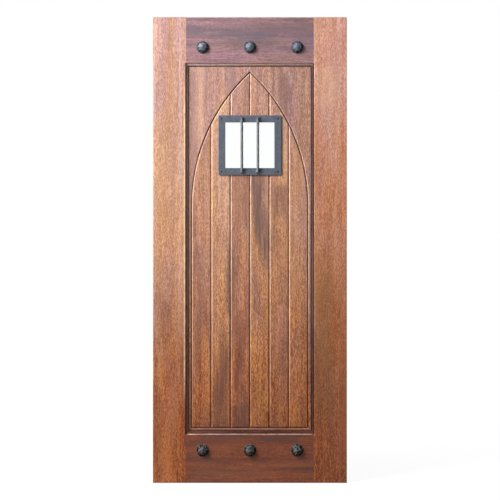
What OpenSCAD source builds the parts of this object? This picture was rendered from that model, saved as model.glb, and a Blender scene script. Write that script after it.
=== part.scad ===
// Panelled wooden door: a stile and rail frame round a pointed-arch panel of boards,
// with a glazed iron grille and hammered iron studs on the rails.
// Front faces -Y, up is +Z, origin at the middle of the bottom edge.

/* [Door] */
// Overall width
door_w = 846; // [780:1:960]
// Overall height
door_h = 2032; // [1930:1:2300]
// Thickness of the stiles and rails
door_t = 44.5; // [40:0.5:56]
// Bevel on the outer arrises
edge_bevel = 1.5; // [0.5:0.5:3]

/* [Frame] */
// Face width of each stile
stile_w = 144; // [115:1:165]
// Face height of the top rail
top_rail_h = 203; // [160:1:240]
// Face height of the bottom rail
bottom_rail_h = 214; // [160:1:300]
// Radius of the rounded inner arris of the frame
inner_round = 5; // [2:0.5:7]
// Depth of the panel groove in the inner edges of the frame
groove_d = 12; // [8:0.5:16]
// Width of the panel groove, and thickness of the tenons that share it
groove_w = 14; // [10:0.5:17]
// Length of each rail tenon
tenon_l = 85; // [50:1:100]
// Step from the edges of a rail to its tenon
tenon_step = 30; // [20:1:50]

/* [Panel] */
// Thickness of the panel boards
panel_t = 22; // [18:0.5:26]
// Gap between the shoulders of the panel and the frame
panel_play = 1; // [0.5:0.25:2]
// Room left for movement in the side and top grooves
groove_play = 2; // [1:0.5:4]
// Depth of the V between two boards
board_v = 5; // [2:0.5:5]
// Thickness of the tongue between two boards
tongue_t = 7; // [5:0.5:9]
// Length of the tongue between two boards
tongue_l = 8; // [5:0.5:10]

/* [Arch] */
// From the inner edges of the frame to the straight legs and the foot of the arch
arch_margin = 24.6; // [22:0.2:40]
// Height of the arch from its springing to its point
arch_rise = 584; // [450:1:680]
// From the point of the arch to the top rail
arch_top_gap = 36; // [34:1:60]
// Depth of the V along the arch
arch_v = 4.5; // [2:0.5:5]

/* [Moulding] */
// Width of the moulding
moulding_w = 9; // [7:0.5:11]
// Height of the moulding above the panel
moulding_h = 6; // [5:0.5:6]
// Radius of the rounded inner arris of the moulding
moulding_round = 4.5; // [2:0.5:5]
// Width of the quirk in the panel beside the moulding
quirk_w = 3.5; // [2:0.5:5]
// Depth of the quirk
quirk_d = 3.5; // [1:0.5:3.5]

/* [Window] */
// From the point of the arch down to the middle of the window
window_drop = 319; // [280:1:420]
// Wood set back from the edge of the iron opening
sight_margin = 2; // [1:0.5:4]
// Thickness of the front lip that the glass beds against
lip_t = 8; // [5:0.5:9]
// Ledge of the rebate round the glass
rebate_w = 8; // [6:0.5:9]
// Thickness of the bedding tape
tape_t = 1.5; // [1:0.25:2.5]
// Thickness of the glass
glass_t = 6; // [4:0.5:8]
// Gap between the glass and the rebate
glass_play = 0.8; // [0.4:0.1:1.5]
// Glazing beads stand proud of the back of the panel by this much
glazing_proud = 3; // [1:0.5:5]
// Bevel on the inner edge of the glazing beads
glazing_bevel = 4; // [1:0.5:5]

/* [Grille] */
// Width of the iron frame
grille_w = 274; // [250:1:300]
// Height of the iron frame
grille_h = 260; // [230:1:300]
// Width of the flat strip of the iron frame
grille_strip = 30; // [26:1:36]
// Thickness of the iron frame
grille_t = 5; // [3:0.5:8]
// Corner radius of the iron frame
grille_corner = 4; // [1:0.5:8]
// Diameter of the bars
bar_d = 12; // [8:0.5:16]
// Distance between the two bars
bar_pitch = 70; // [50:1:90]
// From the end of a bar to the edge of the iron frame
bar_inset = 10; // [6:1:14]
// Width of the flared foot of a bar
foot_w = 22; // [17:1:28]
// Length of the flared foot of a bar
foot_l = 17; // [12:1:24]
// Thickness of the root of a foot, at its ridge
foot_root_t = 11.5; // [8:0.5:12]
// Thickness of the tip of a foot, at its ridge
foot_t = 9; // [6:0.5:11]
// Thickness of the sides of a foot
foot_edge_t = 2; // [1:0.5:4]

/* [Screws] */
// From the edges of the iron frame to a corner screw
screw_inset = 14; // [11:0.5:17]
// Diameter of the shank
screw_d = 4.5; // [3.5:0.5:5]
// Diameter of the head
screw_head_d = 9; // [7:0.5:10]
// Length from the face of the iron frame
screw_l = 22; // [15:1:24]
// Width of the slot
slot_w = 1.4; // [0.8:0.1:2]
// Depth of the slot
slot_d = 1.2; // [0.6:0.1:1.6]

/* [Studs] */
// Diameter of the head
stud_d = 54; // [40:1:64]
// Height of the head
stud_h = 19; // [13:1:26]
// Height of the rim
stud_rim = 2; // [1:0.5:4]
// Run of the side facets in from the rim
stud_slope = 10; // [6:0.5:13]
// Height of the crown above the side facets
stud_crown = 6; // [3:0.5:7]
// Width of the flat on top
stud_flat = 6; // [4:1:14]
// Distance between neighbouring studs
stud_pitch = 206; // [150:1:240]
// From the panel opening to the row of studs
stud_inset = 71; // [45:1:100]
// Diameter of the shank
shank_d = 8; // [5:0.5:10]
// Length of the shank
shank_l = 30; // [20:1:36]

/* [Fit] */
// Side clearance of tongues and tenons
joint_clear = 0.2; // [0.1:0.05:0.4]
// Radial clearance of screws and shanks
hole_clear = 0.2; // [0.1:0.05:0.4]
// Depth left free beyond the end of a tongue, tenon or shank
end_clear = 1; // [0.5:0.25:2]

/* [Hidden] */
$fn = 64;

// A cut runs past the face that it opens by this much
over = 2;

// Panel opening in the frame
open_w = door_w - 2 * stile_w;
open_z0 = bottom_rail_h;
open_z1 = door_h - top_rail_h;
open_h = open_z1 - open_z0;
open_mid_z = (open_z0 + open_z1) / 2;

// Panel boards
half_t = panel_t / 2;
board_count = 6;
arch_half = open_w / 2 - arch_margin;
board_w = 2 * arch_half / board_count;

// Pointed arch of two arcs that leave the legs upright, closed by a level foot
point_z = open_z1 - arch_top_gap;
spring_z = point_z - arch_rise;
arch_r = (arch_rise * arch_rise + arch_half * arch_half) / (2 * arch_half);
arch_centre = arch_r - arch_half;
arch_fn = 180;
base_z = open_z0 + arch_margin;
base_drop = spring_z - base_z;
mitre_run = arch_margin + groove_d;

// Window, from the inside of the iron frame outwards
window_z = point_z - window_drop;
iron_open_w = grille_w - 2 * grille_strip;
iron_open_h = grille_h - 2 * grille_strip;
sight_w = iron_open_w + 2 * sight_margin;
sight_h = iron_open_h + 2 * sight_margin;
rebate_open_w = sight_w + 2 * rebate_w;
rebate_open_h = sight_h + 2 * rebate_w;
tape_y = -half_t + lip_t;
glass_y = tape_y + tape_t;
glazing_y = glass_y + glass_t;
glazing_h = half_t + glazing_proud - glazing_y;

// Iron on the front of the panel
grille_face_y = -half_t - grille_t;
bar_half = grille_h / 2 - bar_inset;
bar_lap = foot_l / 3;

// Places of the repeated fasteners
screw_x = grille_w / 2 - screw_inset;
screw_dz = grille_h / 2 - screw_inset;
top_stud_z = open_z1 + stud_inset;
bottom_stud_z = open_z0 - stud_inset;

// Facets of a stud: eight round the sides, six round the crown and one on top
stud_r = stud_d / 2;
crown_r = stud_r - stud_slope;
crown_h = stud_h - stud_crown;
side_facets = 8;
crown_facets = 6;
facet_size = 6 * stud_d;
top_stud_turn = 17;
bottom_stud_turn = 29;

wood_frame = "#b9855f";
wood_rail = "#9c6a52";
wood_board = "#b57f55";
wood_board_red = "#9e5f3e";
wood_board_gold = "#bf9062";
wood_moulding = "#7a4a36";
iron = "#6b7078";
clear_glass = "#dfe9ea";
tape_grey = "#3a3a3a";

// Section in x and z, drawn through the thickness
module through_y(depth) {
    rotate([90, 0, 0]) linear_extrude(depth, center = true) children();
}

// Section in y and z, drawn along the width
module along_x(length) {
    rotate([90, 0, 90]) linear_extrude(length, center = true) children();
}

module block(x0, x1, y0, y1, z0, z1) {
    translate([x0, y0, z0]) cube([x1 - x0, y1 - y0, z1 - z0]);
}

module bevelled_section(w, t) {
    b = edge_bevel;
    polygon([
        [-w / 2 + b, -t / 2], [w / 2 - b, -t / 2], [w / 2, -t / 2 + b], [w / 2, t / 2 - b],
        [w / 2 - b, t / 2], [-w / 2 + b, t / 2], [-w / 2, t / 2 - b], [-w / 2, -t / 2 + b]
    ]);
}

// Whole slab with bevelled arrises, mitred at its corners
module door_blank() {
    intersection() {
        linear_extrude(door_h) bevelled_section(door_w, door_t);
        translate([0, 0, door_h / 2]) along_x(door_w) bevelled_section(door_t, door_h);
    }
}

// Section of the panel opening: straight walls that round over into both faces
module mouth_section(w) {
    square([w, door_t + 2 * over], center = true);
    for (flip_x = [0, 1], flip_y = [0, 1])
        mirror([flip_x, 0]) mirror([0, flip_y]) difference() {
            translate([w / 2 - over, -door_t / 2 - over]) square(inner_round + over);
            translate([w / 2 + inner_round, -door_t / 2 + inner_round]) circle(inner_round);
        }
}

module panel_opening() {
    intersection() {
        linear_extrude(door_h) mouth_section(open_w);
        translate([0, 0, open_mid_z]) along_x(door_w) rotate(90) mouth_section(open_h);
    }
}

// Mortise for a rail tenon that runs from z0 to z1, in the right-hand stile
module mortise(z0, z1) {
    block(open_w / 2, open_w / 2 + tenon_l + end_clear, -groove_w / 2, groove_w / 2,
        z0 + tenon_step - joint_clear, z1 - tenon_step + joint_clear);
}

module stile() {
    difference() {
        intersection() {
            door_blank();
            block(open_w / 2, door_w / 2, -door_t, door_t, 0, door_h);
        }
        panel_opening();
        block(open_w / 2 - over, open_w / 2 + groove_d, -groove_w / 2, groove_w / 2, -over, door_h + over);
        mortise(0, bottom_rail_h);
        mortise(open_z1, door_h);
    }
}

// Haunched tenon at the right-hand end of a rail that runs from z0 to z1
module tenon(z0, z1) {
    half = groove_w / 2 - joint_clear;
    block(open_w / 2 - over, open_w / 2 + groove_d - joint_clear, -half, half, z0, z1);
    block(open_w / 2 - over, open_w / 2 + tenon_l, -half, half, z0 + tenon_step, z1 - tenon_step);
}

module stud_holes(z) {
    for (i = [-1:1])
        translate([i * stud_pitch, -door_t / 2 - over, z]) rotate([-90, 0, 0])
            cylinder(h = shank_l + end_clear + over, d = shank_d + 2 * hole_clear);
}

// Rail from z0 to z1 with its panel groove from groove_z0 to groove_z1
module rail(z0, z1, groove_z0, groove_z1, stud_z) {
    difference() {
        union() {
            intersection() {
                door_blank();
                block(-open_w / 2, open_w / 2, -door_t, door_t, z0, z1);
            }
            for (flip = [0, 1])
                mirror([flip, 0, 0]) tenon(z0, z1);
        }
        panel_opening();
        block(-door_w / 2, door_w / 2, -groove_w / 2, groove_w / 2, groove_z0, groove_z1);
        stud_holes(stud_z);
    }
}

// Outline of the whole panel: the body between the frame and the thin edge in its grooves
module panel_blank() {
    reach = groove_d - groove_play;
    edge = groove_w / 2 - joint_clear;
    body_x = open_w / 2 - panel_play;
    edge_x = open_w / 2 + reach;
    block(-body_x, body_x, -half_t, half_t, open_z0 + panel_play, open_z1 - panel_play);
    block(-edge_x, edge_x, -edge, edge, open_z0 - groove_d, open_z1 + reach);
}

// Half sections of the boarded arch and of the hole it fills, at a reach r from their axis
function arch_plug_points(r) = [
    [0, -half_t], [r - arch_v, -half_t], [r, -half_t + arch_v], [r, -tongue_t / 2],
    [r + tongue_l, -tongue_t / 2], [r + tongue_l, tongue_t / 2], [r, tongue_t / 2],
    [r, half_t - arch_v], [r - arch_v, half_t], [0, half_t]
];
function arch_hole_points(r) =
    let (g = tongue_t / 2 + joint_clear, l = tongue_l + end_clear, mouth = r + arch_v + over) [
        [0, -half_t - over], [mouth, -half_t - over], [r, -half_t + arch_v], [r, -g],
        [r + l, -g], [r + l, g], [r, g], [r, half_t - arch_v],
        [mouth, half_t + over], [0, half_t + over]
    ];
function flipped(points) = [for (i = [len(points) - 1:-1:0]) [-points[i][0], points[i][1]]];

// Pointed arch: arc_points turn about each centre, leg_points run down and base_points close the foot
module pointed_arch(arc_points, leg_points, base_points) {
    intersection() {
        for_centre(1) rotate_extrude($fn = arch_fn) polygon(arc_points);
        for_centre(-1) rotate_extrude($fn = arch_fn) polygon(arc_points);
        block(-open_w, open_w, -door_t, door_t, spring_z, door_h);
    }
    intersection() {
        linear_extrude(spring_z) polygon(concat(leg_points, flipped(leg_points)));
        translate([0, 0, spring_z]) along_x(door_w) rotate(-90) polygon(base_points);
    }
}

module for_centre(side) {
    translate([side * arch_centre, 0, spring_z]) rotate([90, 0, 0]) children();
}

module arch_plug() {
    pointed_arch(arch_plug_points(arch_r - joint_clear), arch_plug_points(arch_half - joint_clear),
        arch_plug_points(base_drop));
}

module arch_hole() {
    pointed_arch(arch_hole_points(arch_r), arch_hole_points(arch_half), arch_hole_points(base_drop));
}

module screw_places() {
    for (sx = [-1, 1], sz = [-1, 1])
        translate([sx * screw_x, grille_face_y, window_z + sz * screw_dz]) rotate([-90, 0, 0]) children();
}

// Rebated window opening and the pilot holes round it, in whichever pieces of the panel they meet
module window_cut() {
    translate([0, 0, window_z]) {
        cube([sight_w, door_t, sight_h], center = true);
        translate([0, tape_y + door_t / 2, 0]) cube([rebate_open_w, door_t, rebate_open_h], center = true);
    }
    screw_places() cylinder(h = screw_l + end_clear, d = screw_d + 2 * hole_clear);
}

// Section of board i, from 0 at the left, with a tongue on its right and a groove on its left
module board_section(i) {
    first = i == 0;
    last = i == board_count - 1;
    x0 = -arch_half + i * board_w;
    x1 = x0 + board_w;
    outer = tongue_l + over;
    left = first
        ? [[x0 - outer, half_t], [x0 - outer, -half_t]]
        : [[x0 + board_v, half_t], [x0, half_t - board_v], [x0, -half_t + board_v], [x0 + board_v, -half_t]];
    right = last
        ? [[x1 + outer, -half_t], [x1 + outer, half_t]]
        : [[x1 - board_v, -half_t], [x1, -half_t + board_v], [x1, half_t - board_v], [x1 - board_v, half_t]];
    difference() {
        union() {
            polygon(concat(left, right));
            if (!last)
                translate([x1 - over, -tongue_t / 2]) square([tongue_l + over, tongue_t]);
        }
        if (!first)
            translate([x0 - over, -tongue_t / 2 - joint_clear])
                square([tongue_l + end_clear + over, tongue_t + 2 * joint_clear]);
    }
}

module plank(i) {
    difference() {
        intersection() {
            linear_extrude(door_h) board_section(i);
            arch_plug();
            panel_blank();
        }
        window_cut();
    }
}

// The window parts a middle board into a length above it and a length below it
module plank_above(i) {
    intersection() {
        plank(i);
        block(-door_w, door_w, -door_t, door_t, window_z + sight_h / 2, door_h);
    }
}

module plank_below(i) {
    intersection() {
        plank(i);
        block(-door_w, door_w, -door_t, door_t, 0, window_z - sight_h / 2);
    }
}

// Quirk round the panel beside the moulding, in both faces
module panel_quirk() {
    inset = moulding_w + quirk_w;
    for (flip = [0, 1])
        mirror([0, flip, 0]) translate([0, -half_t, open_mid_z]) through_y(2 * quirk_d) difference() {
            square([open_w - 2 * moulding_w, open_h - 2 * moulding_w], center = true);
            square([open_w - 2 * inset, open_h - 2 * inset], center = true);
        }
}

// All of the panel round the boarded arch
module panel_border() {
    difference() {
        panel_blank();
        arch_hole();
        window_cut();
        panel_quirk();
    }
}

// Right-hand spandrel and its leg, mitred to the base strip
module spandrel() {
    intersection() {
        panel_border();
        through_y(door_t) polygon([
            [0, door_h], [0, base_z], [arch_half, base_z],
            [arch_half + mitre_run, base_z - mitre_run], [arch_half + mitre_run, door_h]
        ]);
    }
}

// Moulding with a rounded inner arris: u runs in from the frame, v stands up from the panel
module moulding_section() {
    r = moulding_round;
    intersection() {
        union() {
            square([moulding_w, moulding_h - r]);
            square([moulding_w - r, moulding_h]);
            translate([moulding_w - r, moulding_h - r]) circle(r);
        }
        square([moulding_w, moulding_h]);
    }
}

module upright_moulding() {
    intersection() {
        translate([-open_w / 2, -half_t]) linear_extrude(door_h) mirror([0, 1]) moulding_section();
        through_y(door_t) polygon([
            [-open_w / 2, open_z0], [-open_w / 2 + moulding_w, open_z0 + moulding_w],
            [-open_w / 2 + moulding_w, open_z1 - moulding_w], [-open_w / 2, open_z1]
        ]);
    }
}

module level_moulding() {
    intersection() {
        translate([0, -half_t, open_z0]) along_x(open_w) rotate(90) moulding_section();
        through_y(door_t) polygon([
            [-open_w / 2, open_z0], [open_w / 2, open_z0],
            [open_w / 2 - moulding_w, open_z0 + moulding_w], [-open_w / 2 + moulding_w, open_z0 + moulding_w]
        ]);
    }
}

// Turns a piece of the lower edge of an opening over to its upper edge
module flip_z(z0, z1) {
    translate([0, 0, z0 + z1]) mirror([0, 0, 1]) children();
}

module centred_box(w, h, y, t) {
    translate([-w / 2, y, window_z - h / 2]) cube([w, t, h]);
}

// Glazing bead: u runs in from the rebate, v stands up from the glass
module glazing_section() {
    polygon([
        [0, 0], [rebate_w, 0], [rebate_w, glazing_h - glazing_bevel],
        [rebate_w - glazing_bevel, glazing_h], [0, glazing_h]
    ]);
}

module upright_glazing_bead() {
    x0 = -rebate_open_w / 2;
    z0 = window_z - rebate_open_h / 2;
    z1 = window_z + rebate_open_h / 2;
    intersection() {
        translate([x0, glazing_y]) linear_extrude(door_h) glazing_section();
        through_y(door_t) polygon([
            [x0, z0], [x0 + rebate_w, z0 + rebate_w], [x0 + rebate_w, z1 - rebate_w], [x0, z1]
        ]);
    }
}

module level_glazing_bead() {
    x0 = -rebate_open_w / 2;
    z0 = window_z - rebate_open_h / 2;
    intersection() {
        translate([0, glazing_y, z0]) along_x(rebate_open_w) mirror([1, 0]) rotate(90) glazing_section();
        through_y(door_t) polygon([
            [x0, z0], [-x0, z0], [-x0 - rebate_w, z0 + rebate_w], [x0 + rebate_w, z0 + rebate_w]
        ]);
    }
}

module rounded_rectangle(w, h, r) {
    square([w - 2 * r, h], center = true);
    square([w, h - 2 * r], center = true);
    for (sx = [-1, 1], sy = [-1, 1])
        translate([sx * (w / 2 - r), sy * (h / 2 - r)]) circle(r);
}

// Countersunk screw head down to its shank, from the face inwards
module screw_head(d, shank) {
    cylinder(h = (d - shank) / 2, d1 = d, d2 = shank);
}

module grille_bar() {
    translate([0, grille_face_y - bar_d / 2, window_z - bar_half + foot_l - bar_lap])
        cylinder(h = 2 * (bar_half - foot_l + bar_lap), d = bar_d);
    for (flip = [0, 1])
        translate([0, 0, window_z]) mirror([0, 0, flip]) translate([0, 0, -bar_half]) bar_foot();
}

// Fishtail foot: flares in width and thins towards its tip, with a ridge down its middle
module bar_foot() {
    intersection() {
        through_y(2 * door_t) polygon([
            [-foot_w / 2, 0], [foot_w / 2, 0], [bar_d / 2, foot_l], [-bar_d / 2, foot_l]
        ]);
        translate([0, grille_face_y, 0]) along_x(foot_w + over) polygon([
            [0, 0], [0, foot_l], [-foot_root_t, foot_l], [-foot_t, 0]
        ]);
        translate([0, grille_face_y, 0]) linear_extrude(foot_l) polygon([
            [-foot_w / 2, 0], [-foot_w / 2, -foot_edge_t], [0, -foot_root_t],
            [foot_w / 2, -foot_edge_t], [foot_w / 2, 0]
        ]);
    }
}

// Everything on the near side of a plane that tilts by tilt and passes at a reach r and height h
module facet(tilt, turn, r, h) {
    rotate([0, 0, turn]) translate([r, 0, h]) rotate([0, tilt, 0])
        translate([-facet_size / 2, -facet_size / 2, -facet_size]) cube(facet_size);
}

module stud_head() {
    side_tilt = atan((crown_h - stud_rim) / (stud_r - crown_r));
    crown_tilt = atan(stud_crown / (crown_r - stud_flat / 2));
    side_turn = 360 / side_facets;
    crown_turn = 360 / crown_facets;
    intersection() {
        cylinder(h = stud_h, r = stud_r);
        intersection_for (i = [0:side_facets - 1])
            facet(side_tilt, i * side_turn, stud_r, stud_rim);
        intersection_for (i = [0:crown_facets - 1])
            facet(crown_tilt, i * crown_turn + side_turn / 3, crown_r, crown_h);
    }
}

// Row of three studs, each turned a little from the last
module stud_row(z, turn) {
    for (i = [-1:1])
        translate([i * stud_pitch, -door_t / 2, z]) rotate([90, 0, 0]) rotate(turn * (i + 2)) {
            stud_head();
            translate([0, 0, -shank_l]) cylinder(h = shank_l + stud_rim, d = shank_d);
        }
}

module left_stile() color(wood_frame) mirror([1, 0, 0]) stile();
module right_stile() color(wood_frame) stile();
module top_rail() color(wood_rail) rail(open_z1, door_h, open_z1 - over, open_z1 + groove_d, top_stud_z);
module bottom_rail() color(wood_rail) rail(0, open_z0, open_z0 - groove_d, open_z0 + over, bottom_stud_z);
module plank_1() color(wood_board) plank(0);
module plank_2() color(wood_board) plank(1);
module plank_3_upper() color(wood_board_red) plank_above(2);
module plank_3_lower() color(wood_board_red) plank_below(2);
module plank_4_upper() color(wood_board_gold) plank_above(3);
module plank_4_lower() color(wood_board_gold) plank_below(3);
module plank_5() color(wood_board) plank(4);
module plank_6() color(wood_board) plank(5);
module left_spandrel() color(wood_board) mirror([1, 0, 0]) spandrel();
module right_spandrel() color(wood_board) spandrel();

module base_strip() color(wood_board) intersection() {
    panel_border();
    through_y(door_t) polygon([
        [-arch_half, base_z], [arch_half, base_z],
        [arch_half + mitre_run, base_z - mitre_run], [-arch_half - mitre_run, base_z - mitre_run]
    ]);
}

module front_moulding_left() color(wood_moulding) upright_moulding();
module front_moulding_right() color(wood_moulding) mirror([1, 0, 0]) upright_moulding();
module front_moulding_top() color(wood_moulding) flip_z(open_z0, open_z1) level_moulding();
module front_moulding_bottom() color(wood_moulding) level_moulding();
module back_moulding_left() mirror([0, 1, 0]) front_moulding_left();
module back_moulding_right() mirror([0, 1, 0]) front_moulding_right();
module back_moulding_top() mirror([0, 1, 0]) front_moulding_top();
module back_moulding_bottom() mirror([0, 1, 0]) front_moulding_bottom();

module glass_pane() color(clear_glass, 0.4)
    centred_box(rebate_open_w - 2 * glass_play, rebate_open_h - 2 * glass_play, glass_y, glass_t);

module glazing_tape() color(tape_grey) difference() {
    centred_box(rebate_open_w - 2 * glass_play, rebate_open_h - 2 * glass_play, tape_y, tape_t);
    centred_box(sight_w, sight_h, tape_y - over, tape_t + 2 * over);
}

module glazing_bead_left() color(wood_moulding) upright_glazing_bead();
module glazing_bead_right() color(wood_moulding) mirror([1, 0, 0]) upright_glazing_bead();
module glazing_bead_top() color(wood_moulding) flip_z(window_z, window_z) level_glazing_bead();
module glazing_bead_bottom() color(wood_moulding) level_glazing_bead();

module grille_frame() color(iron) difference() {
    translate([0, -half_t - grille_t / 2, window_z]) through_y(grille_t) difference() {
        rounded_rectangle(grille_w, grille_h, grille_corner);
        square([iron_open_w, iron_open_h], center = true);
    }
    screw_places() {
        translate([0, 0, -over]) cylinder(h = grille_t + 2 * over, d = screw_d + 2 * hole_clear);
        screw_head(screw_head_d + 2 * hole_clear, screw_d);
    }
}

module grille_bar_left() color(iron) translate([-bar_pitch / 2, 0, 0]) grille_bar();
module grille_bar_right() color(iron) translate([bar_pitch / 2, 0, 0]) grille_bar();

module grille_screws() color(iron) screw_places() difference() {
    union() {
        screw_head(screw_head_d, screw_d);
        cylinder(h = screw_l, d = screw_d);
    }
    cube([screw_head_d + over, slot_w, 2 * slot_d], center = true);
}

module top_studs() color(iron) stud_row(top_stud_z, top_stud_turn);
module bottom_studs() color(iron) stud_row(bottom_stud_z, bottom_stud_turn);

left_stile();
right_stile();
top_rail();
bottom_rail();
plank_1();
plank_2();
plank_3_upper();
plank_3_lower();
plank_4_upper();
plank_4_lower();
plank_5();
plank_6();
left_spandrel();
right_spandrel();
base_strip();
front_moulding_left();
front_moulding_right();
front_moulding_top();
front_moulding_bottom();
back_moulding_left();
back_moulding_right();
back_moulding_top();
back_moulding_bottom();
glass_pane();
glazing_tape();
glazing_bead_left();
glazing_bead_right();
glazing_bead_top();
glazing_bead_bottom();
grille_frame();
grille_bar_left();
grille_bar_right();
grille_screws();
top_studs();
bottom_studs();
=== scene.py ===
import math

import bmesh
import bpy
from mathutils import Matrix, Vector


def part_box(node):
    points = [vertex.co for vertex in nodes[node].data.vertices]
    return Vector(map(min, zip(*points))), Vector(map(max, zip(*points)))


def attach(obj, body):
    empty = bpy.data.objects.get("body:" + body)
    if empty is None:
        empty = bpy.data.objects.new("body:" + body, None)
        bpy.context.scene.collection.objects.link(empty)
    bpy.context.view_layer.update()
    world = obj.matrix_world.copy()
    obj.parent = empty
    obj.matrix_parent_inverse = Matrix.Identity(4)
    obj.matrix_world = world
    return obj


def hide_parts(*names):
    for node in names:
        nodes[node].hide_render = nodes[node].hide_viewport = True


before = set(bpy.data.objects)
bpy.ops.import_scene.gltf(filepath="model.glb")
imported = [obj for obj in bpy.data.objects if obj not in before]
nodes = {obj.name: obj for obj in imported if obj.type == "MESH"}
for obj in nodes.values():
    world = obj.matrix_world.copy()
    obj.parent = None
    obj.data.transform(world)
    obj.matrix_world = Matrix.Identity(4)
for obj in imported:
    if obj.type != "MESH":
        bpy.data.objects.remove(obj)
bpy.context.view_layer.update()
scene = bpy.context.scene
scene.view_settings.view_transform = "Standard"
print("frame loaded with", len(nodes), "nodes")


# short ways to write node trees
def addNode(tree, kind, values=None, **settings):
    node = tree.nodes.new(kind)
    for key, value in settings.items():
        setattr(node, key, value)
    for key, value in (values or {}).items():
        if isinstance(value, bpy.types.NodeSocket):
            tree.links.new(value, node.inputs[key])
        else:
            node.inputs[key].default_value = value
    return node


def linkAll(tree, inputs, sockets):
    for label, socket in sockets.items():
        tree.links.new(socket, inputs[label])


def calc(tree, operation, a, b=0.0, clamp=False):
    return addNode(tree, "ShaderNodeMath", {0: a, 1: b}, operation=operation, use_clamp=clamp).outputs[0]


def multiply(tree, a, b):
    return calc(tree, "MULTIPLY", a, b)


def calcVector(tree, operation, a, b):
    return addNode(tree, "ShaderNodeVectorMath", {0: a, 1: b}, operation=operation).outputs[0]


def scaleVector(tree, vector, share):
    return addNode(tree, "ShaderNodeVectorMath", {0: vector, "Scale": share}, operation="SCALE").outputs[0]


def vectorLength(tree, vector):
    return addNode(tree, "ShaderNodeVectorMath", {0: vector}, operation="LENGTH").outputs["Value"]


def splitAxes(tree, vector):
    return addNode(tree, "ShaderNodeSeparateXYZ", {0: vector}).outputs


# repeats are counted per metre on x, y and z
def noise(tree, vector, repeats, detail=2.0, rough=0.55, output=0):
    values = {"Vector": calcVector(tree, "MULTIPLY", vector, repeats), "Scale": 1.0, "Detail": detail}
    return addNode(tree, "ShaderNodeTexNoise", {**values, "Roughness": rough}, noise_dimensions="3D").outputs[output]


def spread(tree, value, low, high, toLow=0.0, toHigh=1.0, curve="LINEAR"):
    values = {"Value": value, "From Min": low, "From Max": high, "To Min": toLow, "To Max": toHigh}
    return addNode(tree, "ShaderNodeMapRange", values, interpolation_type=curve).outputs[0]


# most of a noise lies in this span
noiseSpan = (0.3, 0.7)


def swing(tree, value, reach):
    return spread(tree, value, *noiseSpan, -reach, reach)


def mixColour(tree, share, a, b):
    return addNode(tree, "ShaderNodeMix", {0: share, 6: a, 7: b}, data_type="RGBA").outputs[2]


def newGroup(name, inputs, outputs):
    group = bpy.data.node_groups.new(name, "ShaderNodeTree")
    for label, kind, value in inputs:
        socket = group.interface.new_socket(label, in_out="INPUT", socket_type="NodeSocket" + kind)
        if value is not None:
            socket.default_value = value
    for label, kind in outputs:
        group.interface.new_socket(label, in_out="OUTPUT", socket_type="NodeSocket" + kind)
    given = group.nodes.new("NodeGroupInput").outputs
    made = group.nodes.new("NodeGroupOutput").inputs
    return group, given, made


def placeGroup(tree, group, values):
    return addNode(tree, "ShaderNodeGroup", values, node_tree=group).outputs


def newMaterial(name):
    material = bpy.data.materials.new(name)
    material.use_nodes = True
    tree = material.node_tree
    place = tree.nodes.new("ShaderNodeTexCoord").outputs["Object"]
    return material, tree, tree.nodes["Principled BSDF"].inputs, place


def faceMark(tree, name):
    return addNode(tree, "ShaderNodeAttribute", attribute_name=name).outputs["Fac"]


def addBump(tree, shader, height, strength, distance):
    bump = addNode(tree, "ShaderNodeBump", {"Height": height, "Strength": strength, "Distance": distance})
    tree.links.new(bump.outputs[0], shader["Normal"])


def opaque(colour):
    return (*colour, 1.0)


# timber grain: z runs along the fibres and all lengths are in metres
grainMarks = {
    "bend": (4.0, 4.0, 0.9), "streak": (62.0, 62.0, 4.5), "fleck": (300.0, 300.0, 85.0),
    "fibre": (300.0, 300.0, 15.0), "ribbon": (24.0, 24.0, 5.0), "pores": (1500.0, 1500.0, 70.0),
    "smoke": (17.0, 17.0, 2.6), "ringDetail": 4.0, "ringRough": 0.62,
    "ringSwing": 0.22, "streakSwing": 0.2, "fibreSwing": 0.3, "ribbonRange": (0.84, 1.16),
    "fleckSpan": (0.38, 0.62), "poreSpan": (0.6, 0.72), "smokeSpan": (0.44, 0.64),
    "poreTint": (0.05, 0.02, 0.012), "poreShare": 0.4, "baseRough": 0.34, "fleckRough": 0.1, "poreRough": 0.2,
    "bump": 0.35, "bumpDepth": 0.0003,
}


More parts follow.
